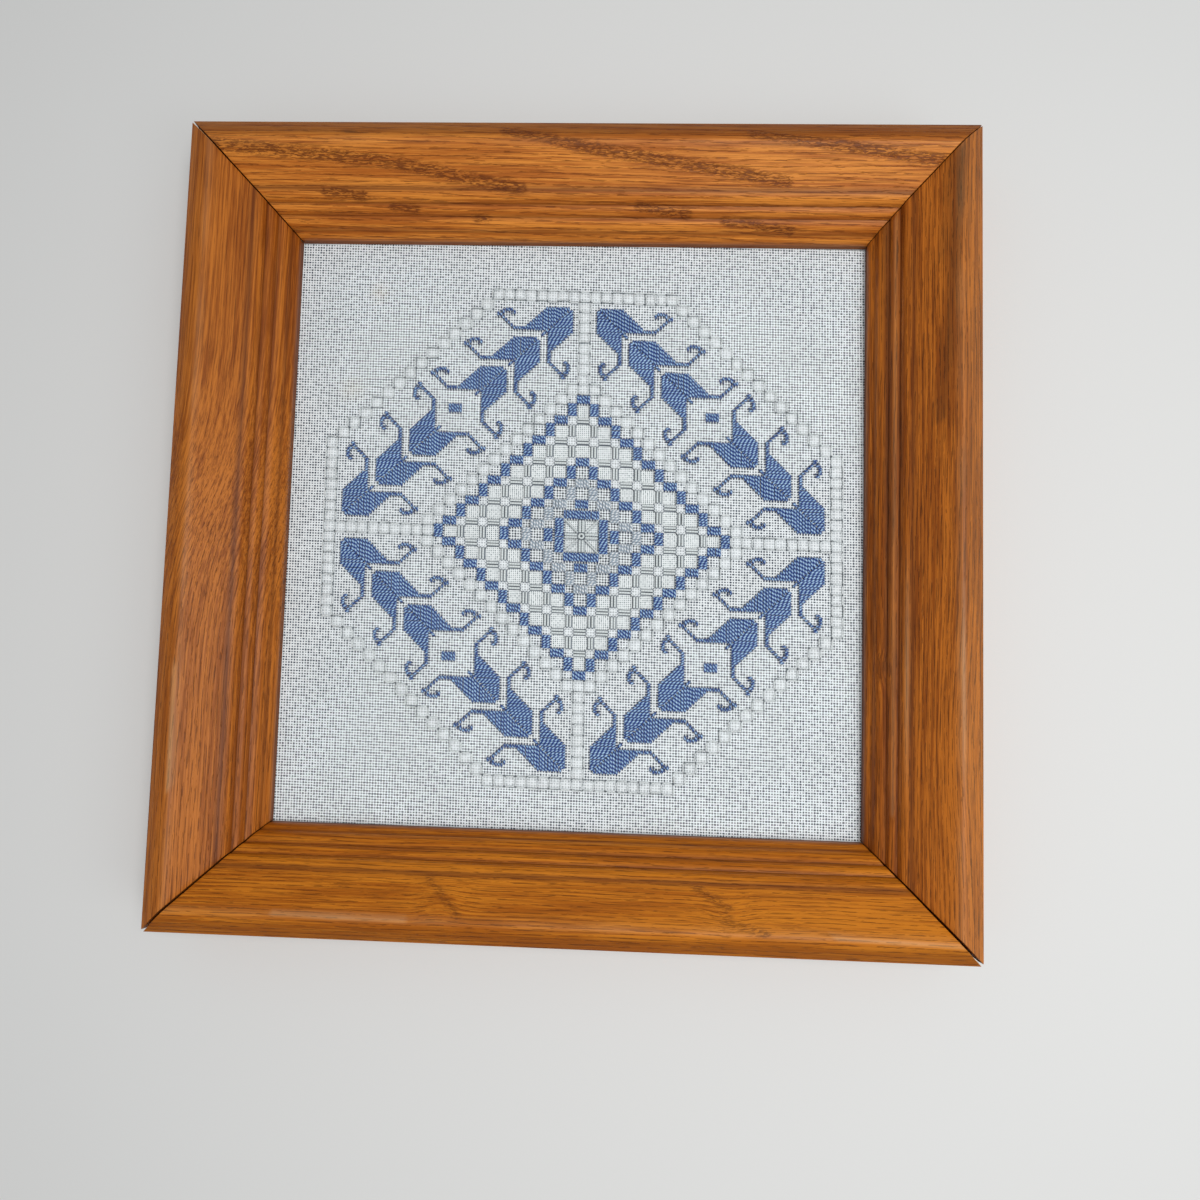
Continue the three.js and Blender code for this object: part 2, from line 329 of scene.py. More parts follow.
def rail_section():
    """Points of the moulding's outline, and how much stain and painted shade lies at each."""
    points = [(0.0, 0.0, 1.0)]
    for start, end in zip(GROOVES, GROOVES[1:]):
        run = np.subtract(end, start)
        normal = np.array([-run[1], run[0]]) / math.hypot(*run)
        for i in range(REED_STEPS):
            share = i / REED_STEPS
            bulge = REED_BULGE * math.sin(math.pi * share)
            place = np.add(start, run * share) + normal * bulge
            to_groove = min(share, 1 - share)
            points.append((*place, max(0.0, GROOVE_STAIN_AND_SHADE - to_groove * GROOVE_FADE)))
    for i in range(BAND_STEPS):
        share = i / BAND_STEPS
        place = np.add(GROOVES[-1], np.subtract(BAND_EDGE, GROOVES[-1]) * share)
        points.append((*place, max(0.0, 1 - share * BAND_FADE)))
    outer_edge = (SIDE_OUT, OUTER_EDGE_UP)
    for i in range(SHOULDER_STEPS + 1):
        t = i / SHOULDER_STEPS
        weights = ((1 - t) ** 2, 2 * t * (1 - t), t * t)
        place = sum(w * np.array(p) for w, p in zip(weights, (BAND_EDGE, SHOULDER_CROWN, outer_edge)))
        points.append((*place, 0.0))
    for up in np.linspace(OUTER_EDGE_UP, BACK_UP, BACK_STEPS + 1)[1:]:
        points.append((SIDE_OUT, up, 0.0))
    for out in np.linspace(SIDE_OUT, REBATE_OUT, BACK_STEPS + 1)[1:]:
        points.append((out, BACK_UP, BACK_STAIN))
    points.append((REBATE_OUT, 0.0, REBATE_STAIN))
    return np.array(points)


# How far each mitre gapes, at the sight edge and at the outer edge, in millimetres
MITRES = {
    "top_left": (0.35, 0.6),
    "top_right": (0.3, 0.35),
    "bottom_right": (0.35, 1.1),
    "bottom_left": (0.4, 1.1),
}
# Each rail: the way it runs, the way out, the mitres at its start and end
RAILS = {
    "top": ((1, 0), (0, 1), "top_left", "top_right"),
    "left": ((0, 1), (-1, 0), "bottom_left", "top_left"),
    "bottom": ((-1, 0), (0, -1), "bottom_right", "bottom_left"),
    "right": ((0, -1), (1, 0), "top_right", "bottom_right"),
}
RAIL_STEPS = 120
# The eased edge at each end of a rail: the share of its length and how far it drops, in millimetres
EASED_SHARE = 0.0009
EASED_DROP = 0.15
SAW_ROUGHNESS = 0.06
# How far apart the rails lie in the grain's noise, so that no two look the same
GRAIN_APART = 400
# How much of a mitre's gap is left just under the face, and how near the outer edge the face ends
GAP_BEHIND = 0.2
FACE_MARGIN = 0.1
SHARP_ANGLE = math.radians(32)


def rail(side, material, bend, grain_start, paint, rng):
    """One mitred length of moulding, with its grain, its marks and its figure at every point."""
    run, out_way, start_mitre, end_mitre = RAILS[side]
    out, up, stain = rail_section().T
    half = (OPENING_HALF[0] if run[0] else OPENING_HALF[1]) / MM + out
    on_face = (up > 1.0) & ((out < SIDE_OUT - FACE_MARGIN) | (up > OUTER_EDGE_UP - FACE_MARGIN))
    closing = np.where(on_face, 1.0, GAP_BEHIND) / math.sqrt(2)
    gapes = [np.interp(out, (0, SIDE_OUT), MITRES[mitre]) * closing for mitre in (start_mitre, end_mitre)]
    share = np.linspace(0, 1, RAIL_STEPS + 1)
    share = np.concatenate([[0, EASED_SHARE], share[1:-1], [1 - EASED_SHARE, 1]])
    start = -half + gapes[0]
    end = half - gapes[1]
    along = start[None] + (end - start)[None] * share[:, None]
    outs = np.broadcast_to(out, along.shape).copy()
    ups = np.broadcast_to(up, along.shape).copy()
    for ring, inward in ((0, 1), (-1, -1)):
        top = (ups[ring] > 0.5) & (outs[ring] > 0.2)
        ups[ring][top] -= EASED_DROP
        along[ring] += inward * np.abs(rng.normal(0, SAW_ROUGHNESS, len(out)))
    grain = np.stack([along + grain_start, outs + bend(along, outs), ups], -1)
    marks = np.zeros(along.shape + (3,))
    marks[..., 0] = stain
    figure = np.zeros_like(marks)
    paint(along, outs, marks, figure)
    points = np.zeros_like(marks)
    offset = (OPENING_HALF[0] if out_way[0] else OPENING_HALF[1]) / MM + outs
    for axis in (0, 1):
        points[..., axis] = run[axis] * along + out_way[axis] * offset
    points[..., 2] = ups + LIP_LEVEL / MM
    rings, sides = along.shape
    quads, caps = tube_faces(1, rings, sides)
    faces = [quads.reshape(-1, 4), caps.reshape(-1, sides)]
    if run[0] * out_way[1] - run[1] * out_way[0] > 0:
        faces = [part[:, ::-1] for part in faces]
    fields = {"grain": grain, "marks": marks, "figure": figure}
    made = mesh_object(f"{side}_rail", points.reshape(-1, 3) * MM, faces, material, fields, SHARP_ANGLE)
    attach(made, "root")
    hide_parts(RAIL_NODES[side])


def swirl(along, out, at, reach, push):
    """A push of the grain that fades away from one place."""
    return push * np.exp(-((along - at[0]) / reach[0]) ** 2 - ((out - at[1]) / reach[1]) ** 2)


def rising(values, start, run):
    """0 up to the start, and 1 from a run beyond it."""
    return np.clip((values - start) / run, 0, 1)


def line_mark(along, out, places, width):
    """1 on a line through places on a rail, falling to 0 at its width."""
    mark = np.zeros_like(along)
    for start, end in zip(places, places[1:]):
        start, end = np.array(start, float), np.array(end, float)
        run = end - start
        share = ((along - start[0]) * run[0] + (out - start[1]) * run[1]) / (run @ run)
        share = np.clip(share, 0, 1)
        away = np.hypot(along - start[0] - share * run[0], out - start[1] - share * run[1])
        mark = np.maximum(mark, np.clip(1 - away / width, 0, 1))
    return mark


# Porous bands and clusters of the top rail, as places along and out, each with its width
TOP_BANDS = (
    (((-150, 28.4), (-76.8, 22.8), (-34.8, 15.8), (-24, 14.4)), 3.4),
    (((-30, 33.9), (2.2, 27.9), (84.8, 17.2)), 3.2),
    (((69, 32.9), (145, 24.2)), 3.0),
    (((-106, 13.0), (-89, 11.8)), 2.4),
    (((-79, 8.8), (-68, 8.3)), 2.0),
    (((-44, 5.8), (-39, 5.4)), 2.0),
    (((24, 9.4), (45, 7.5)), 2.4),
    (((60, 5.4), (88, 3.2)), 2.4),
)
# Dark streaks of the right rail, as places along and out, each with its width and darkness
RIGHT_STREAKS = (
    (((-152, 30.3), (-100, 27.2), (-45, 23.3)), 3.0, 0.85),
    (((-150, 26.5), (-110, 24.0)), 2.4, 0.5),
    (((-130, 5.4), (54, 6.6)), 1.9, 0.8),
    (((10, 3.4), (54, 4.8)), 1.6, 0.5),
    (((52, 4.8), (57, 4.8)), 2.2, 0.7),
)
CREST_WEAR_AND_HIGHLIGHT = 29.8


def wear_and_highlight(along, out, marks, amount):
    """Wears the stain thin along the crest, and paints a highlight there."""
    patches = 0.7 + 0.3 * np.sin(along * 0.13 + 1) * np.sin(along * 0.047)
    marks[..., 1] += amount * patches * np.exp(-((out - CREST_WEAR_AND_HIGHLIGHT) / 1.6) ** 2)


def top_bend(along, out):
    return along * 0.01


def left_bend(along, out):
    return 12 * np.tanh((along - 5) / 38)


def bottom_bend(along, out):
    return swirl(along, out, (44, 24), (8, 7), 1.6) + swirl(along, out, (-66, 24), (9, 7), -1.8)


def right_bend(along, out):
    return swirl(along, out, (80, 30), (40, 9), 3) + swirl(along, out, (54, 5), (6, 3), 1.5)


def top_marks(along, out, marks, figure):
    for places, width in TOP_BANDS:
        figure[..., 0] = np.maximum(figure[..., 0], line_mark(along, out, places, width))
    # Painted shade on the outer shoulder
    marks[..., 0] += 0.8 * rising(out, 30.5, 3)
    marks[..., 2] += 0.7 * line_mark(along, out, ((-96, 33.5), (-92, 33.5)), 1.6)
    wear_and_highlight(along, out, marks, 0.08)


def left_marks(along, out, marks, figure):
    figure[..., 1] = rising(along, -10, 60)
    # Lighter towards the lower end
    figure[..., 2] = 0.4 * rising(-along, -20, 60)
    # Painted shade on the outer shoulder
    marks[..., 0] += 0.05 * rising(out, 32, 3)
    marks[-1, :, 1] += (rising(along, 132, 20) * rising(out, 27, 6))[-1]
    # A painted highlight along the crest
    marks[..., 1] += 0.3 * line_mark(along, out, ((-60, 30.8), (-108, 30.4)), 1.3)
    wear_and_highlight(along, out, marks, 0.12)


def bottom_marks(along, out, marks, figure):
    for places in (((50, 15.8), (37, 28.4)), ((-53, 15.8), (-66, 22), (-62, 26), (-80, 30))):
        figure[..., 0] = np.maximum(figure[..., 0], 0.5 * line_mark(along, out, places, 3.2))
    # Lighter all along, and more so towards the right-hand end
    figure[..., 2] = 0.3 + 0.3 * rising(-along, 0, 60)
    # Painted shade on the outer shoulder
    marks[..., 0] += 0.45 * rising(out, 32, 3)
    marks[0, :, 1] = rising(out[0], 33, 4)
    # Painted highlights along the crest
    for places in (((109, 29.6), (57, 30.2)), ((-105, 30.2), (-153, 31.6))):
        marks[..., 1] += 0.3 * line_mark(along, out, places, 1.2)
    wear_and_highlight(along, out, marks, 0.12)


def right_marks(along, out, marks, _figure):
    streaks = sum(dark * line_mark(along, out, places, width) for places, width, dark in RIGHT_STREAKS)
    fading = np.clip(1.15 - (along + 152) / 260, 0.4, 1)
    marks[..., 2] = np.clip(streaks * fading, 0, 0.9)
    # Painted highlights along reeds and the crest, which sheen makes stronger and weaker
    sheen = 0.5 + 0.5 * np.sin(along * 0.05 - 1.2)
    marks[..., 1] += 0.34 * sheen * line_mark(along, out, ((-20, 12.4), (120, 12.4)), 1.1)
    marks[..., 1] += 0.26 * sheen * line_mark(along, out, ((20, 30.4), (125, 31.2)), 1.3)
    marks[..., 1] += 0.16 * line_mark(along, out, ((-130, 8.4), (110, 8.4)), 1.2)
    # Painted light on the outer shoulder
    marks[..., 1] += 0.1 * rising(out, 30, 3)
    wear_and_highlight(along, out, marks, 0.14)


# How each rail's grain bends, its marks, its light, deep and pore colours, and its rows' width and lean
OAKS = {
    "top": (top_bend, top_marks, (224, 140, 54), (178, 98, 30), (98, 44, 12), 2.6, 0.01),
    "left": (left_bend, left_marks, (192, 112, 38), (142, 73, 18), (78, 35, 10), 1.9, 0.0),
    "bottom": (bottom_bend, bottom_marks, (204, 122, 28), (158, 82, 10), (84, 40, 6), 1.6, 0.004),
    "right": (right_bend, right_marks, (190, 108, 32), (138, 70, 16), (60, 28, 8), 1.75, 0.006),
}


def make_frame(rng):
    """The four rails, each with wood of its own."""
    for place, (side, (bend, paint, *colours, row_width, row_lean)) in enumerate(OAKS.items()):
        light, deep, pore = [rgb(*colour) for colour in colours]
        wood = oak(f"oak_{side}", light, deep, pore, row_width, row_lean, seed=place + 1)
        rail(side, wood, bend, place * GRAIN_APART, paint, rng)


# Cloth

# The cut holes, in threads: how far apart their middles lie and which of them there are
CUT_STEP = 8
CUT_NEAREST, CUT_FARTHEST = 4, 6
CUT_HALF = 2
WINDOW_HALF = 6
# Their shade on the cloth behind: where its rounded edge lies and where the holes start
HOLE_HALF = 2.95
HOLE_ROUND = 1.35
SHADE_WIDTH = 0.3
HOLES_START = (6.8, 7.2)
# The shade beside the star's spokes and bars, in its middle and along the window's edge
SPOKE_SIDE = 0.62
BAR_SIDE = 1.24
SIDE_FADE = (0.3, 0.1)
STAR_MIDDLE = (1.3, 0.9)
WINDOW_EDGE = (5.6, 5.95)
WINDOW_END = (7.0, 6.6)

CLOUDED = rgb(228, 232, 232)
# Painted shade in creases
CREASE_SHADE_GREY = rgb(120, 130, 134)
# Painted shade in needle holes
NEEDLE_HOLE_SHADE = rgb(36, 42, 54)
STAIN_TAN = rgb(206, 180, 138)
SHADE_GREY = rgb(88, 100, 114)
THREAD_WANDER = 0.2


def hole_shade(s):
    """Dark outside the rounded cut holes, along their edges and beside the threads of the star.

    The field "above" holds the counts of the threads above.
    """
    x, y, _ = s.split(s.field("above"))
    beyond = []
    for value in (x, y):
        middle = s.times(s.whole(s.over(value, CUT_STEP)), CUT_STEP)
        off = s.minus(s.size(s.minus(value, middle)), HOLE_HALF - HOLE_ROUND)
        beyond.append(s.larger(off, 0.0))
    away = s.minus(s.length(*beyond), HOLE_ROUND)
    level, upright = s.size(x), s.size(y)
    reach = s.larger(level, upright)
    holes = s.times(s.step(away, -SHADE_WIDTH, -SHADE_WIDTH * 0.4), s.step(reach, *HOLES_START))
    beside_spoke = s.size(s.minus(s.size(s.minus(level, upright)), SPOKE_SIDE))
    beside_bar = s.size(s.minus(s.math("MINIMUM", level, upright), BAR_SIDE))
    star = s.larger(s.step(beside_spoke, *SIDE_FADE, 0.0, 0.5), s.step(beside_bar, *SIDE_FADE, 0.0, 0.6))
    star = s.larger(star, s.step(reach, *STAR_MIDDLE))
    star = s.larger(star, s.step(reach, *WINDOW_EDGE, 0.0, 0.6))
    return s.larger(holes, s.times(star, s.step(reach, *WINDOW_END)))


def linen(name, light, gap_shade, gap_size, gap_reach, shaded_holes=False):
    """Even-weave cloth: threads over and under one another, with a small gap at each corner painted dark as
    shade.

    The field "weave" holds the thread counts across and up, and how far the weave is smoothed over;
    "marks" holds how deep a needle hole is, which also sets its painted shade, how stained the cloth is
    and how much painted shade lies in its creases.
    gap_size is half the width and height of a gap in threads, and gap_reach stretches every other one.
    The cloth behind cut holes is dark wherever the cords and the edges of the holes shade it.
    """
    s = Shader(name, Roughness=0.85, Sheen_Weight=0.12, Sheen_Roughness=0.5, Specular_IOR_Level=0.25)
    x, y, smooth = s.split(s.field("weave"))
    pierced_shade, stained, crease_shade_share = s.split(s.field("marks"))
    uneven_x = s.noise(s.join(s.whole(x), s.times(y, 0.35)), detail=1)
    uneven_y = s.noise(s.join(s.times(x, 0.35), s.whole(y), 7.0), detail=1)
    x = s.plus(x, s.times(s.minus(uneven_x, 0.5), THREAD_WANDER))
    y = s.plus(y, s.times(s.minus(uneven_y, 0.5), THREAD_WANDER))
    column, row = s.whole(x), s.whole(y)
    every_other = s.math("FLOORED_MODULO", s.plus(column, row), 2.0)
    vary = s.step(s.noise(s.join(column, row), scale=0.73, detail=0), 0.3, 0.7, 0.78, 1.27)
    off = []
    for value, nearest, half, reach in zip((x, y), (column, row), gap_size, gap_reach):
        gap_half = s.times(s.plus(half, s.times(every_other, reach)), vary)
        off.append(s.over(s.size(s.minus(value, nearest)), gap_half))
    # The gaps between the threads: painted shade, and a dip in the bump
    gaps = s.times(s.step(s.length(*off), 1.15, 0.6), s.minus(1.0, s.times(smooth, 0.85)))
    fluff = s.noise(s.join(x, y), scale=7.0, detail=3, rough=0.7)
    tone = s.noise(s.join(x, y), scale=0.045, detail=3)
    slub = s.noise(s.join(s.times(x, 0.3), y), scale=1.1, detail=2)
    cloth = s.mix(s.step(tone, 0.35, 0.65, 0.0, 0.3), light, CLOUDED)
    # Slubs and fluff are darkened with the gaps' painted shade colour
    cloth = s.mix(s.step(slub, 0.45, 0.75, 0.0, 0.12), cloth, gap_shade)
    cloth = s.mix(s.step(fluff, 0.5, 0.8, 0.0, 0.25), cloth, gap_shade)
    cloth = s.mix(gaps, cloth, gap_shade)
    # Painted shade in the creases beside the four-sided stitches and at the edges of squares by the cut
    # holes
    cloth = s.mix(s.step(crease_shade_share, 0.0, 1.0, 0.0, 0.8), cloth, CREASE_SHADE_GREY)
    # Painted shade in the needle holes
    cloth = s.mix(s.step(pierced_shade, 0.45, 0.8), cloth, NEEDLE_HOLE_SHADE)
    cloth = s.mix(s.times(stained, 0.35), cloth, STAIN_TAN)
    if shaded_holes:
        cloth = s.mix(s.times(hole_shade(s), 0.8), cloth, SHADE_GREY)
    s.colour(cloth)
    s.bump(s.minus(s.times(fluff, 0.3), gaps), 0.16 * MM, 0.8)
    return s.material


# How far the bars pull the cloth in beside them, as a share
PULL = 0.24
# The cloth's relief: between the threads, its unevenness, at needle holes and at the rims of cut holes
THREAD_LOW = -0.42 * MM
THREAD_UNEVEN = 0.025 * MM
HOLE_DEPTH = 0.7 * MM
RIM_DEPTH = 0.55 * MM


def is_cut(i, j):
    """Whether the square of the cutting grid at column i, row j is cut out."""
    ring = np.abs(i) + np.abs(j)
    return (ring >= CUT_NEAREST) & (ring <= CUT_FARTHEST)


def is_open(x, y):
    """Whether the cloth is gone at a point, given in threads: cut out, drawn into a bar, or window."""
    i, j = np.round(x / CUT_STEP), np.round(y / CUT_STEP)
    in_x, in_y = np.abs(x - CUT_STEP * i) < CUT_HALF, np.abs(y - CUT_STEP * j) < CUT_HALF
    hole = in_x & in_y & is_cut(i, j)
    left = np.floor(x / CUT_STEP)
    below = np.floor(y / CUT_STEP)
    level_bar = ~in_x & in_y & is_cut(left, j) & is_cut(left + 1, j)
    upright_bar = in_x & ~in_y & is_cut(i, below) & is_cut(i, below + 1)
    window = (np.abs(x) < WINDOW_HALF) & (np.abs(y) < WINDOW_HALF)
    return hole | level_bar | upright_bar | window


def pulled_in(x, y):
    """Moves the edge of a plain square towards its drawn-in bars, in threads."""
    i, j = np.floor(x / CUT_STEP), np.floor(y / CUT_STEP)
    mid_x, mid_y = CUT_STEP * (i + 0.5), CUT_STEP * (j + 0.5)
    away_x, away_y = x - mid_x, y - mid_y
    inside = (np.abs(away_x) <= CUT_HALF + 0.01) & (np.abs(away_y) <= CUT_HALF + 0.01)
    side_x, side_y = np.sign(away_x), np.sign(away_y)
    open_above = is_cut(i, j + (side_y > 0)) & is_cut(i + 1, j + (side_y > 0))
    open_beside = is_cut(i + (side_x > 0), j) & is_cut(i + (side_x > 0), j + 1)
    near_y, near_x = np.abs(away_y) / CUT_HALF, np.abs(away_x) / CUT_HALF
    squeeze_x = np.where(inside & open_above, 1 - PULL * near_y ** 4, 1.0)
    squeeze_y = np.where(inside & open_beside, 1 - PULL * near_x ** 4, 1.0)
    return mid_x + away_x * squeeze_x, mid_y + away_y * squeeze_y, inside


# The columns and rows of threads that show, the needle holes and the puffed squares among them
COLUMNS, ROWS = np.arange(-109, 104), np.arange(-111, 115)
NEEDLE_HOLES = {}
PUFFED = []
PUFF_HEIGHT = 0.6 * MM
SQUARE = 4
SQUARE_HALF = 2
# Faint stains: where each lies, how far it reaches and how strong it is
STAINS = (((-87 * MM, 103 * MM), 4 * MM, 0.5), ((-97 * MM, 60 * MM), 5 * MM, 0.4))


def needle_hole(x, y, depth):
    """Notes a hole that the needle opened between the threads, in whole threads."""
    key = (int(round(x)), int(round(y)))
    NEEDLE_HOLES[key] = max(depth, NEEDLE_HOLES.get(key, 0.0))


def crossings(columns, rows):
    """Points of a grid and of the middles of its squares, the middles, and the numbers of both."""
    corners = np.meshgrid(columns, rows, indexing="ij")
    middles = np.meshgrid(columns[:-1] + 0.5, rows[:-1] + 0.5, indexing="ij")
    x, y = [np.concatenate([c.ravel(), m.ravel()]) for c, m in zip(corners, middles)]
    index = np.arange(corners[0].size).reshape(corners[0].shape)
    centre = index.size + np.arange(middles[0].size).reshape(middles[0].shape)
    return x, y, middles, index, centre


def square_corners(index):
    """The corners of every square of a grid, in turn."""
    return index[:-1, :-1], index[1:, :-1], index[1:, 1:], index[:-1, 1:]


def to_middles(index, centre, shown):
    """Four triangles in each square that is shown, all to its middle."""
    a, b, c, d = square_corners(index)
    sides = ((a, b), (b, c), (c, d), (d, a))
    return np.concatenate([np.stack([p[shown], q[shown], centre[shown]], -1) for p, q in sides])


def outline(low, high):
    """The corners of a sheet that lies under the frame's lip."""
    return np.array([(low.x, low.y), (high.x, low.y), (high.x, high.y), (low.x, high.y)])


def ground_cloth(material, rng):
    """The stretched cloth: one high point on each crossing of the threads, and its cut holes."""
    x, y, middles, index, centre = crossings(COLUMNS, ROWS)
    kept = ~is_open(*middles)
    depth = np.zeros(index.shape)
    for (column, row), value in NEEDLE_HOLES.items():
        depth[column - COLUMNS[0], row - ROWS[0]] = value
    hole = np.concatenate([depth.ravel(), np.zeros(centre.size)])
    moved_x, moved_y, plain = pulled_in(x, y)
    near_cut = plain & is_open(*[np.round(value / CUT_STEP) * CUT_STEP + 0.1 for value in (x, y)])
    puff, crease_shade = puffed_squares(x, y, rng)
    smooth = np.maximum(np.where(near_cut, 0.6, 0.0), np.minimum(puff * 1.3, 0.7))
    edge = np.maximum(*[np.abs(value / SQUARE - np.round(value / SQUARE)) for value in (x, y)])
    # Painted shade towards the edges of the plain squares beside the cut holes
    crease_shade = np.where(near_cut, 0.05 + edge ** 2, crease_shade)
    across, up = on_cloth(moved_x, moved_y)
    swell = np.sin(across * 61 + 1.0) * np.sin(up * 53 + 0.4) * 0.07 * MM
    lift = np.concatenate([np.full(index.size, THREAD_LOW), np.zeros(centre.size)])
    lift = lift * np.where(near_cut, 0.5, 1.0) + rng.normal(0, THREAD_UNEVEN, len(lift))
    level = CLOTH_TOP + swell + lift - hole * HOLE_DEPTH + puff * PUFF_HEIGHT
    points = np.stack([across, up, level], -1)
    weave = np.stack([x, y, smooth], -1)
    stain = np.zeros_like(across)
    for place, reach, strength in STAINS:
        stain += strength * np.exp(-((across - place[0]) ** 2 + (up - place[1]) ** 2) / reach ** 2)
    marks = np.stack([hole, stain, crease_shade], -1)

    triangles = to_middles(index, centre, kept)
    rim_faces, rim_points = cut_rims(kept, index, points, len(points))
    edge_faces, edge_points = hidden_margin(index, points, len(points) + len(rim_points))
    added = np.concatenate([rim_points, edge_points])
    points = np.concatenate([points, added])
    weave = np.concatenate([weave, np.zeros_like(added)])
    # Painted shade on the walls of the cut holes
    dark = np.zeros_like(added)
    dark[:len(rim_points), 0] = 0.45
    marks = np.concatenate([marks, dark])
    made = tidy_mesh("ground_cloth", points, [triangles, rim_faces, edge_faces], material,
                     {"weave": weave, "marks": marks})
    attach(made, "root")
    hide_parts("hardanger_cloth")
    return made


def puffed_squares(x, y, rng):
    """How far the cloth bulges inside each four-sided stitch, and how shaded it lies beside one."""
    puff = np.zeros_like(x)
    crease_shade = np.zeros_like(x)
    for middle_x, middle_y in PUFFED:
        dx, dy = np.abs(x - middle_x), np.abs(y - middle_y)
        inside = (dx < SQUARE_HALF) & (dy < SQUARE_HALF)
        bulge = (1 - (dx / SQUARE_HALF) ** 2) * (1 - (dy / SQUARE_HALF) ** 2) * rng.uniform(0.6, 1.1)
        puff[inside] = np.maximum(puff[inside], bulge[inside])
        close = (dx < SQUARE_HALF + 0.6) & (dy < SQUARE_HALF + 0.6)
        on_side = close & ((np.abs(dx - SQUARE_HALF) < 0.1) | (np.abs(dy - SQUARE_HALF) < 0.1))
        # Painted shade along the sides of each square
        crease_shade[on_side] = np.maximum(crease_shade[on_side], rng.uniform(0.45, 1.0))
    return puff, crease_shade


def cut_rims(kept, index, points, first):
    """Short walls down from the edges of the holes."""
    walls = []
    padded = np.pad(kept, 1, constant_values=True)
    a, b, c, d = square_corners(index)
    sides = {(-1, 0): (d, a), (1, 0): (b, c), (0, -1): (a, b), (0, 1): (c, d)}
    for (dx, dy), (start, end) in sides.items():
        beside = padded[1 + dx:padded.shape[0] - 1 + dx, 1 + dy:padded.shape[1] - 1 + dy]
        edge = kept & ~beside
        walls.append(np.stack([start[edge], end[edge]], -1))
    walls = np.concatenate(walls)
    used, place = np.unique(walls, return_inverse=True)
    place = place.reshape(walls.shape) + first
    lower = points[used] - np.array([0, 0, RIM_DEPTH])
    return np.stack([walls[:, 0], place[:, 0], place[:, 1], walls[:, 1]], -1), lower


def hidden_margin(index, points, first):
    """The plain strip under the frame's lip, out to the edge of the cloth."""
    around = np.concatenate([index[:-1, 0], index[-1, :-1], index[:0:-1, -1], index[0, :0:-1]])
    wide, tall = index.shape
    turn = np.repeat(np.arange(4), [wide - 1, tall - 1, wide - 1, tall - 1])
    corners = outline(CLOTH_LOW, CLOTH_HIGH)
    outer = points[around].copy()
    for side, axis in enumerate((1, 0, 1, 0)):
        outer[turn == side, axis] = corners[side, axis]
        outer[np.argmax(turn == side), :2] = corners[side]
    outer[:, 2] = CLOTH_TOP + THREAD_LOW * 0.5
    count = len(around)
    new = first + np.arange(count)
    after = np.roll(np.arange(count), -1)
    return np.stack([around, new, new[after], around[after]], -1), outer


def tidy_mesh(name, points, faces, material, fields):
    """A mesh without the points that no face uses."""
    used = np.unique(np.concatenate([part.ravel() for part in faces]))
    place = np.zeros(len(points), int)
    place[used] = np.arange(len(used))
    kept = {key: values[used] for key, values in fields.items()}
    return mesh_object(name, points[used], [place[part] for part in faces], material, kept)


# The finer cloth's threads: their pitch, how they are turned, how far they are shown and their relief
BACKING_PITCH = 0.87 * MM
BACKING_TURN = math.radians(1.2)
BACKING_REACH = 66 * MM
BACKING_LOW_POINTS = -0.28 * MM


def backing_cloth(material):
    """The finer cloth behind the holes, woven where it shows and plain elsewhere."""
    cells = int(BACKING_REACH / BACKING_PITCH)
    line = np.arange(-cells, cells + 1)
    x, y, middles, index, centre = crossings(line, line)
    cos, sin = math.cos(BACKING_TURN), math.sin(BACKING_TURN)
    across = GRID_CENTRE[0] + (x * cos - y * sin) * BACKING_PITCH
    up = GRID_CENTRE[1] + (x * sin + y * cos) * BACKING_PITCH
    lift = np.concatenate([np.full(index.size, BACKING_LOW_POINTS), np.zeros(centre.size)])
    points = np.stack([across, up, BACKING_HIGH.z + lift], -1)
    shown = np.abs(middles[0]) + np.abs(middles[1]) < cells
    fine = to_middles(index, centre, shown)
    coarse = np.stack([part[~shown] for part in square_corners(index)], -1)
    first = len(points)
    outer = outline(BACKING_LOW, BACKING_HIGH)
    outer = np.column_stack([outer, np.full(4, BACKING_HIGH.z + BACKING_LOW_POINTS / 2)])
    skirt = []
    for k, side in enumerate((index[:, 0], index[-1, :], index[::-1, -1], index[0, ::-1])):
        skirt.append(np.concatenate([side, [first + (k + 1) % 4, first + k]])[None, ::-1])
    points = np.concatenate([points, outer])
    weave = np.concatenate([np.stack([x, y, np.zeros_like(x)], -1), np.zeros((4, 3))])
    above = np.stack([*threads_at(points[:, 0], points[:, 1]), np.zeros(len(points))], -1)
    fields = {"weave": weave, "marks": np.zeros_like(weave), "above": above}
    made = mesh_object("finer_backing", points, [fine, coarse, *skirt], material, fields)
    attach(made, "root")
    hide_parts("backing_cloth")
    return made


# Thread

# The light, deep and dark colour of each: light paints the highlights, dark the painted shade
BLUE = (rgb(190, 228, 255), rgb(18, 58, 136), rgb(8, 22, 74))
PALE = (rgb(255, 255, 255), rgb(158, 176, 190), rgb(80, 98, 120))
MINT = (rgb(246, 252, 252), rgb(206, 214, 216), rgb(96, 106, 116))
IVORY = (rgb(244, 252, 252), rgb(200, 208, 208), rgb(98, 110, 122))


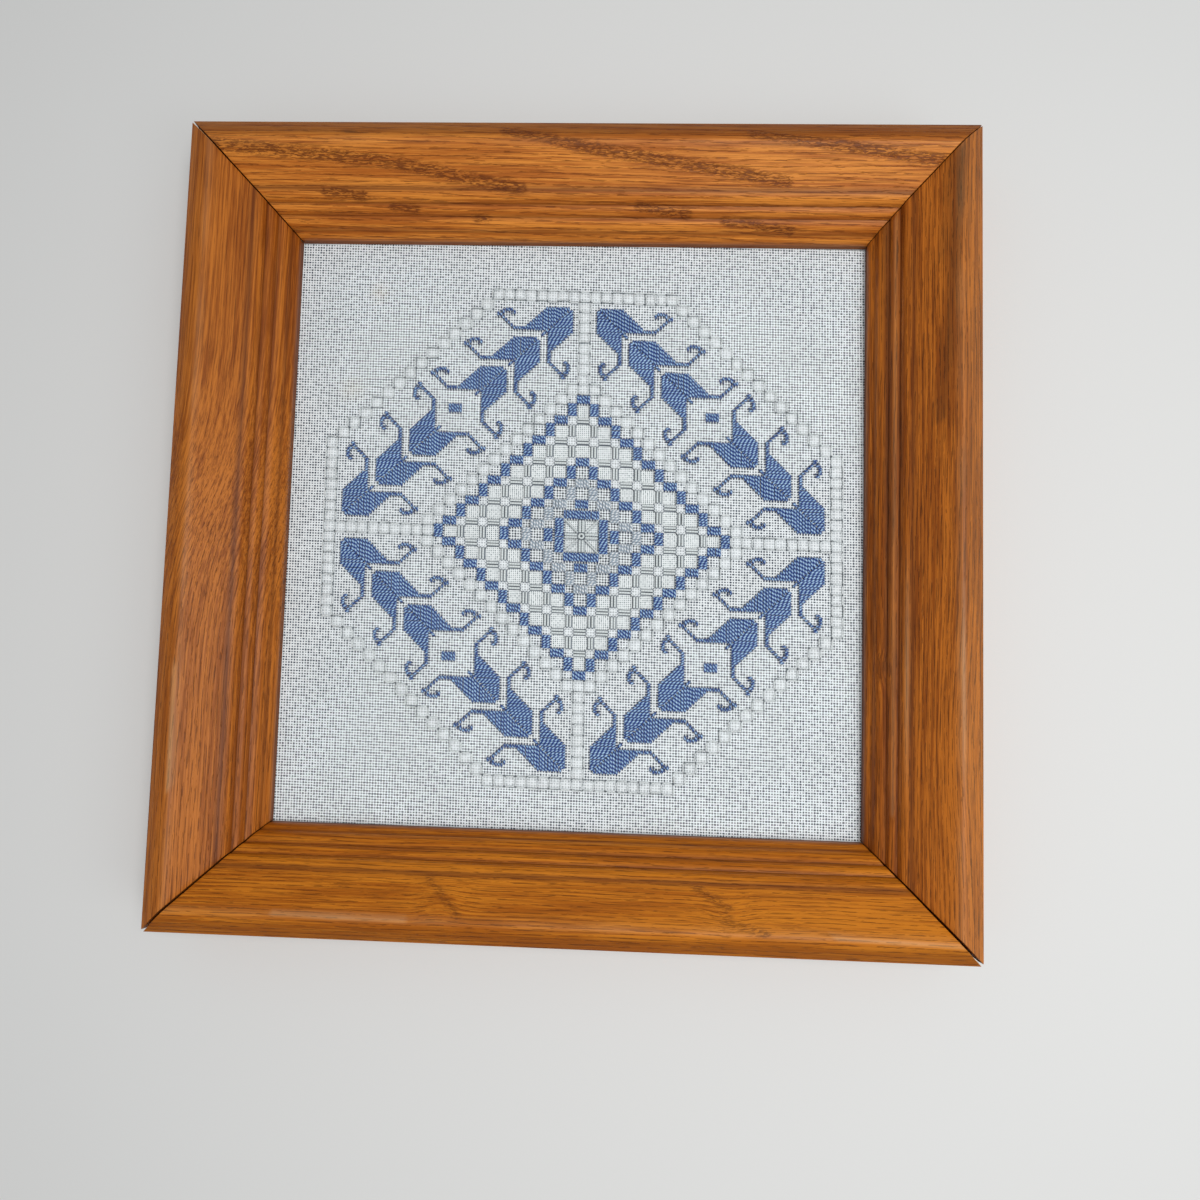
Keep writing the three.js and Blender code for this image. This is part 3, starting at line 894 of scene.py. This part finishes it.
def thread(name, light, deep, dark, gloss, twist, contrast, plies=2):
    """Twisted cotton: light on its plies as a painted highlight, deep between them as painted shade, and
    dark along its sides and where it goes down into the cloth, as painted shade.

    The field "strand" holds millimetres along, the turn round it and a tone; "sunk" holds how much
    painted shade lies where the thread goes down at its ends, and how near its sides are.
    """
    s = Shader(name, Roughness=gloss, Sheen_Weight=0.25, Sheen_Roughness=0.35, Specular_IOR_Level=0.45)
    along, turn, tone = s.split(s.field("strand"))
    sunk, beside, _ = s.split(s.field("sunk"))
    phase = s.minus(s.times(turn, plies), s.times(along, plies / twist))
    ply_groove_shade = s.step(s.size(s.minus(s.times(s.math("FRACT", phase), 2.0), 1.0)), 0.34, 0.68)
    fibre_way = s.join(s.times(along, 0.9), s.times(phase, 7.0), s.times(tone, 9.0))
    fibre = s.noise(fibre_way, scale=1.3, detail=3, rough=0.65)
    colour = s.mix(s.step(fibre, 0.3, 0.72, 0.5, 1.0), deep, light)
    colour = s.mix(s.times(tone, 0.25), colour, deep)
    # Painted shade in the grooves between the plies, as strong as contrast says; the plies keep their
    # painted highlight
    colour = s.mix(s.times(ply_groove_shade, contrast), colour, deep)
    # Painted shade along the thread's sides
    colour = s.mix(s.step(beside, 0.6, 0.99, 0.0, 0.8), colour, dark)
    # Painted shade at the ends, where the thread goes down into the cloth
    colour = s.mix(s.step(sunk, 0.12, 0.7), colour, dark)
    s.colour(colour)
    s.bump(s.minus(s.times(fibre, 0.35), ply_groove_shade), 0.12 * MM)
    return s.material


# A thread's rings: how far apart and how many they are, and how much closer they stand at its ends
RING_STEP = 0.33 * MM
FEWEST_STEPS, MOST_STEPS = 7, 90
CLOSER_ENDS = 0.55
# How long the part is that goes down into the cloth, and how much threads differ in height
END_LENGTH = 0.75 * MM
RISE_STRAY = 0.025 * MM
# Where the points of a ring lie round a thread, which is flat below
THREAD_ANGLES = np.radians([-32, 8, 48, 90, 132, 172, 212])


def lay_threads(pile, stitches, rng, width, height, crown, twist, level=CLOTH_TOP, tuck=0.55 * MM,
                taper=0.75, plump=0.17, stray=0.05 * MM):
    """Lays a twisted thread between each pair of needle holes, given in threads of the cloth."""
    ends = to_metres(stitches)
    lengths = np.hypot(*(ends[:, 1] - ends[:, 0]).T)
    counts = np.clip(np.round(lengths / RING_STEP), FEWEST_STEPS, MOST_STEPS).astype(int) + 1
    tones = rng.random(len(ends))
    phases = np.cumsum(rng.normal(1.1, 0.9, len(ends)))
    sizes = rng.normal(1, 0.05, (len(ends), 2))
    sway = rng.normal(0, 1, (len(ends), 2)) * (stray, RISE_STRAY)
    theta = THREAD_ANGLES[None, None]
    for rings in np.unique(counts):
        chosen = counts == rings
        start, run = ends[chosen, 0], ends[chosen, 1] - ends[chosen, 0]
        length = lengths[chosen][:, None]
        phase = phases[chosen][:, None, None]
        even = np.linspace(0, 1, rings)
        share = (1 - CLOSER_ENDS) * even + CLOSER_ENDS * (0.5 - 0.5 * np.cos(math.pi * even))
        off = np.abs(2 * share - 1)
        way = run / length
        side = np.stack([way[:, 1], -way[:, 0]], -1)
        bend = np.sin(math.pi * share) * sway[chosen, :1]
        centre = start[:, None] + run[:, None] * share[None, :, None] + side[:, None] * bend[..., None]
        rise = level + crown * (1 - off ** 4) - tuck * off ** 14 + sway[chosen, 1:]
        ending = np.clip(1 - np.minimum(share, 1 - share) * length / END_LENGTH, 0, 1) * (tuck > 0)
        spin = phase + (2 * math.pi * share * length / twist)[..., None]
        girth = (1 - taper * ending)[..., None] * (1 + plump * np.cos(2 * (theta - spin)))
        wide = width / 2 * sizes[chosen, 0][:, None, None] * girth * np.cos(theta)
        tall = height / 2 * sizes[chosen, 1][:, None, None] * girth * np.sin(theta)
        flat = centre[:, :, None] + side[:, None, None] * wide[..., None]
        points = np.concatenate([flat, (rise[..., None] + tall)[..., None]], -1)
        strand = np.zeros(points.shape)
        strand[..., 0] = (share * length / MM)[..., None]
        strand[..., 1] = (theta - phase) / (2 * math.pi)
        strand[..., 2] = tones[chosen][:, None, None]
        # How much painted shade lies at the ends and along the sides
        sunk = np.zeros(points.shape)
        sunk[..., 0] = ending[..., None]
        sunk[..., 1] = np.abs(np.cos(theta))
        pile.add(points, tube_faces(len(start), rings, len(THREAD_ANGLES)), strand=strand, sunk=sunk)
    return pile


QUADRANTS = ((1, 1), (-1, 1), (1, -1), (-1, -1))


def unique(stitches):
    """Each stitch once, whichever end it starts from."""
    seen = {}
    for (x0, y0), (x1, y1) in stitches:
        key = tuple(sorted(((round(x0, 2), round(y0, 2)), (round(x1, 2), round(y1, 2)))))
        seen.setdefault(key, ((x0, y0), (x1, y1)))
    return list(seen.values())


def mirrored(stitches, diagonal=True):
    """Stitches of one octant in all four quadrants, and mirrored across the diagonals."""
    every = []
    for start, end in stitches:
        for sx, sy in QUADRANTS:
            every.append(((sx * start[0], sy * start[1]), (sx * end[0], sy * end[1])))
            if diagonal:
                every.append(((sx * start[1], sy * start[0]), (sx * end[1], sy * end[0])))
    return unique(every)


def block(x, y):
    """A block of five upright stitches over four threads."""
    return [((x + k, y - 2), (x + k, y + 2)) for k in range(-2, 3)]


def block_ring(reach):
    """The stepped square of blocks whose middles lie at the given reach."""
    return mirrored([stitch for k in range(0, reach, 8) for stitch in block(k, reach - k)])


def centre_bars():
    """The blue stitches round the window: thirteen on each side, and five beyond them."""
    return mirrored([((x, 6), (x, 10)) for x in range(0, 7)] + [((x, 10), (x, 14)) for x in range(0, 3)])


# The curl of a sprig: stitches counted out from the tip, and their first and last thread down from it
CURL = ((23, 7, 9), (24, 6, 8), (25, 5, 7), (26, 4, 6), (27, 3, 5), (28, 2.6, 4.8), (27, 2, 3), (26, 1.4, 4),
        (25, 1, 3), (24, 1, 3), (23, 1, 3), (22, 1.8, 4), (23, 3, 4))
SPRIG_TIPS = ((4, 88), (16, 76), (28, 64))


def sprigs():
    """The leaf sprigs of the whole design: each has two lobes with a curl, and a joining stitch."""
    lobe = [(u, 0, u + 0.35) for u in range(2, 11)] + [(u, u - 10, 10) for u in range(11, 19)]
    lobe += [(u, 8, 10) for u in range(19, 23)] + list(CURL)
    made = []
    for tip_x, tip_y in SPRIG_TIPS:
        for u, low, high in lobe:
            made.append(((tip_x + u, tip_y - low), (tip_x + u, tip_y - high)))
            made.append(((tip_x + low, tip_y - u), (tip_x + high, tip_y - u)))
        made.append(((tip_x + 10, tip_y - 10), (tip_x + 12, tip_y - 12)))
    return mirrored(made)


def small_squares():
    """A small square of five stitches in each quarter of the design."""
    return mirrored([((x, 45), (x, 49)) for x in range(45, 50)], diagonal=False)


def four_sided(x, y):
    """The four stitches round one square of four threads."""
    corners = ((x - 2, y - 2), (x + 2, y - 2), (x + 2, y + 2), (x - 2, y + 2))
    return [(corners[k], corners[(k + 1) % 4]) for k in range(4)]


def border_squares():
    """Middles of the squares of the octagon, the cross and the chain outside the blue blocks."""
    octagon = [(x, 92) for x in range(0, 33, 4)] + [(x, 124 - x) for x in range(36, 62, 4)]
    cross = [(0, y) for y in range(56, 89, 4)]
    chain = [(x, 60 - x) for x in range(4, 57, 4)]
    places = set()
    for x, y in octagon + cross + chain:
        for sx, sy in QUADRANTS:
            places.update({(sx * x, sy * y), (sx * y, sy * x)})
    return sorted(places)


def plain_squares():
    """Middles of the bare squares between the inner blocks, where the stitches draw the threads apart."""
    return [(x, y) for x in range(-24, 25, 4) for y in range(-24, 25, 4) if abs(x) + abs(y) in (16, 24)]


def to_metres(stitches):
    """The ends of stitches given in threads, in metres."""
    ends = np.array(stitches, float)
    return np.stack(on_cloth(ends[..., 0], ends[..., 1]), -1)


# The size of each kind of thread
SATIN = dict(width=1.2 * MM, height=0.95 * MM, crown=0.42 * MM, twist=3.2 * MM)
BORDER = dict(width=0.6 * MM, height=0.5 * MM, crown=0.12 * MM, twist=3.0 * MM, tuck=0.5 * MM,
              stray=0.22 * MM)
BAR_CORD = dict(width=1.0 * MM, height=0.95 * MM, crown=0.1 * MM, twist=1.1 * MM,
                level=CLOTH_TOP - 0.3 * MM, tuck=0.1 * MM, taper=0.1, plump=0.0)
STAR_SPOKE = dict(width=0.55 * MM, height=0.5 * MM, crown=0.1 * MM, twist=1.6 * MM,
                  level=CLOTH_TOP + 0.1 * MM, tuck=0.3 * MM)
STAR_RING = dict(width=0.95 * MM, height=0.8 * MM, crown=0.0, twist=1.6 * MM, tuck=0.0, taper=0.0)
# How deep the needle holes are, as a share, which also sets how dark their painted shade is, and how far the
# border's stitches stray, in threads
SATIN_HOLE = 0.55
PLAIN_HOLE = 0.67
BORDER_HOLES = (0.5, 0.9)
BORDER_STRAY = 0.16


def make_stitches(rng):
    """The satin-stitch blocks, the leaf sprigs and the four-sided stitches, with their needle holes."""
    blue = thread("blue_pearl_cotton", *BLUE, gloss=0.42, twist=3.2, contrast=1.0)
    pale = thread("pale_pearl_cotton", *PALE, gloss=0.45, twist=3.2, contrast=1.0)
    mint = thread("mint_thread", *MINT, gloss=0.5, twist=3.0, contrast=0.6)
    leaves = sprigs()
    groups = {
        "blue_blocks": (block_ring(52) + block_ring(28) + centre_bars() + small_squares(), blue),
        "pale_blocks": (block_ring(20), pale),
        "blue_sprigs_above": ([stitch for stitch in leaves if stitch[0][1] > 0], blue),
        "blue_sprigs_below": ([stitch for stitch in leaves if stitch[0][1] <= 0], blue),
    }
    made = []
    for name, (stitches, material) in groups.items():
        for ends in stitches:
            for x, y in ends:
                needle_hole(x, y, SATIN_HOLE)
        made.append(lay_threads(Pile(), stitches, rng, **SATIN).build(name, material))
    squares = border_squares()
    sides = unique([stitch for x, y in squares for stitch in four_sided(x, y)])
    for x, y in plain_squares():
        for dx in (-1, 0, 1):
            for dy in (-1, 0, 1):
                needle_hole(x + dx, y + dy, PLAIN_HOLE)
    for x, y in squares:
        PUFFED.append((x, y))
        for dx, dy in QUADRANTS:
            needle_hole(x + SQUARE_HALF * dx, y + SQUARE_HALF * dy, rng.uniform(*BORDER_HOLES))
    strayed = np.array(sides, float) + rng.normal(0, BORDER_STRAY, (len(sides), 2, 2))
    made.append(lay_threads(Pile(), strayed, rng, **BORDER).build("four_sided_stitches", mint))
    for piece in made:
        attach(piece, "root")
    return made


# The bars' cords and the star, in threads: how far apart two cords lie and where the lines end
CORD_APART = 0.55
BAR_REACH = CUT_HALF + 0.55
STAR_BAR = (1.1, WINDOW_HALF + 0.4)
STAR_SPOKE_ENDS = (8.2, 1.0)
STAR_RING_REACH = 0.85
STAR_RING_CHORDS = 16


def bar_lines():
    """The middle line of each woven bar and of the star's four bars."""
    lines = []
    far = CUT_FARTHEST + 1
    for i in range(-far, far):
        middle = CUT_STEP * (i + 0.5)
        for j in range(-far, far + 1):
            low, high = CUT_STEP * j - BAR_REACH, CUT_STEP * j + BAR_REACH
            if is_cut(i, j) and is_cut(i + 1, j):
                lines.append(((middle, low), (middle, high)))
            if is_cut(j, i) and is_cut(j, i + 1):
                lines.append(((low, middle), (high, middle)))
    for sign in (-1, 1):
        inner, outer = sign * STAR_BAR[0], sign * STAR_BAR[1]
        lines += [((0, inner), (0, outer)), ((inner, 0), (outer, 0))]
    return lines


def make_bars(rng):
    """The pairs of woven cords between the cut holes, and the star in the middle window."""
    cord = thread("ivory_thread", *IVORY, gloss=0.5, twist=1.1, contrast=0.4, plies=1)
    cords = []
    for (x0, y0), (x1, y1) in bar_lines():
        dx, dy = (CORD_APART, 0) if x0 == x1 else (0, CORD_APART)
        for side in (-1, 1):
            cords.append(((x0 + side * dx, y0 + side * dy), (x1 + side * dx, y1 + side * dy)))
    pile = lay_threads(Pile(), cords, rng, **BAR_CORD)
    outer, inner = STAR_SPOKE_ENDS
    spokes = [((outer * sx, outer * sy), (inner * sx, inner * sy)) for sx, sy in QUADRANTS]
    lay_threads(pile, spokes, rng, **STAR_SPOKE)
    turn = np.linspace(0, 2 * math.pi, STAR_RING_CHORDS + 1)
    ring = STAR_RING_REACH * np.stack([np.cos(turn), np.sin(turn)], -1)
    lay_threads(pile, np.stack([ring[:-1], ring[1:]], 1), rng, **STAR_RING)
    made = pile.build("woven_bars", cord)
    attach(made, "root")
    return made


def make_board():
    """Grey card on the hidden board."""
    s = Shader("grey_board", Roughness=0.9)
    place = s.node("ShaderNodeTexCoord", {}).outputs["Object"]
    flecks = s.noise(place, scale=900.0, detail=3)
    s.colour(s.mix(s.step(flecks, 0.35, 0.65), rgb(176, 166, 146), rgb(196, 188, 170)))
    s.bump(flecks, 0.05 * MM)
    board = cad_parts["mounting_board"]
    board = bpy.data.objects[board] if isinstance(board, str) else board
    board.data.materials[0] = s.material


# Floor, light and camera

def make_stage():
    """A plain pale floor just under the frame."""
    s = Shader("pale_floor", Roughness=0.8, Base_Color=rgb(226, 226, 224))
    corners = np.array([(-2, -2, 0), (2, -2, 0), (2, 2, 0), (-2, 2, 0)], float)
    floor = mesh_object("floor", corners, [np.array([[0, 1, 2, 3]])], s.material)
    floor.location.z = FLOOR_LEVEL - 0.2 * MM


def area_light(name, place, size, power, tint):
    """A rectangular light that shines on the middle of the scene."""
    data = bpy.data.lights.new(name, "AREA")
    data.shape = "RECTANGLE"
    data.size, data.size_y = size
    data.energy = power
    data.color = tint
    made = bpy.data.objects.new(name, data)
    made.location = place
    made.rotation_euler = Vector(place).to_track_quat("Z", "Y").to_euler()
    bpy.context.scene.collection.objects.link(made)


def make_light():
    """A soft light above, a cooler one from the side, and a little from all round."""
    area_light("ceiling", (0.25, -0.06, 1.0), size=(0.55, 0.45), power=6.6, tint=(1.0, 0.998, 0.992))
    area_light("window", (0.6, -0.35, 0.7), size=(0.5, 0.5), power=1.2, tint=(0.97, 0.985, 1.0))
    world = bpy.data.worlds.new("room")
    world.use_nodes = True
    background = world.node_tree.nodes["Background"].inputs
    background["Color"].default_value = (0.95, 0.97, 1.0, 1.0)
    background["Strength"].default_value = 0.31
    bpy.context.scene.world = world
    bpy.context.scene.view_settings.view_transform = "Standard"


# Where the photo was taken from, and the way the camera was turned
CAMERA_PLACE = (27.75 * MM, -55.25 * MM, 381.84 * MM)
CAMERA_RIGHT = (0.99883, 0.02898, -0.03863)
CAMERA_UP = (-0.02613, 0.99703, 0.07239)
CAMERA_BACK = (0.04062, -0.0713, 0.99663)
CAMERA_LENS = 27.0
CAMERA_SENSOR = 36.0


def make_camera():
    data = bpy.data.cameras.new("camera")
    data.lens = CAMERA_LENS
    data.sensor_width = CAMERA_SENSOR
    data.clip_start = 0.01
    made = bpy.data.objects.new("camera", data)
    axes = Matrix((CAMERA_RIGHT, CAMERA_UP, CAMERA_BACK)).transposed().to_4x4()
    made.matrix_world = Matrix.Translation(CAMERA_PLACE) @ axes
    bpy.context.scene.collection.objects.link(made)
    bpy.context.scene.camera = made


make_camera()
make_frame(np.random.default_rng(11))
stitches = make_stitches(np.random.default_rng(5))
bars = make_bars(np.random.default_rng(6))
ground_weave = linen("ground_linen", rgb(247, 253, 255), rgb(58, 66, 80), (0.28, 0.37), (0.11, -0.09))
backing_weave = linen("backing_linen", rgb(250, 255, 255), rgb(104, 122, 128), (0.22, 0.26), (0.03, 0.08),
                      shaded_holes=True)
ground = ground_cloth(ground_weave, np.random.default_rng(7))
backing = backing_cloth(backing_weave)
make_board()
make_stage()
make_light()
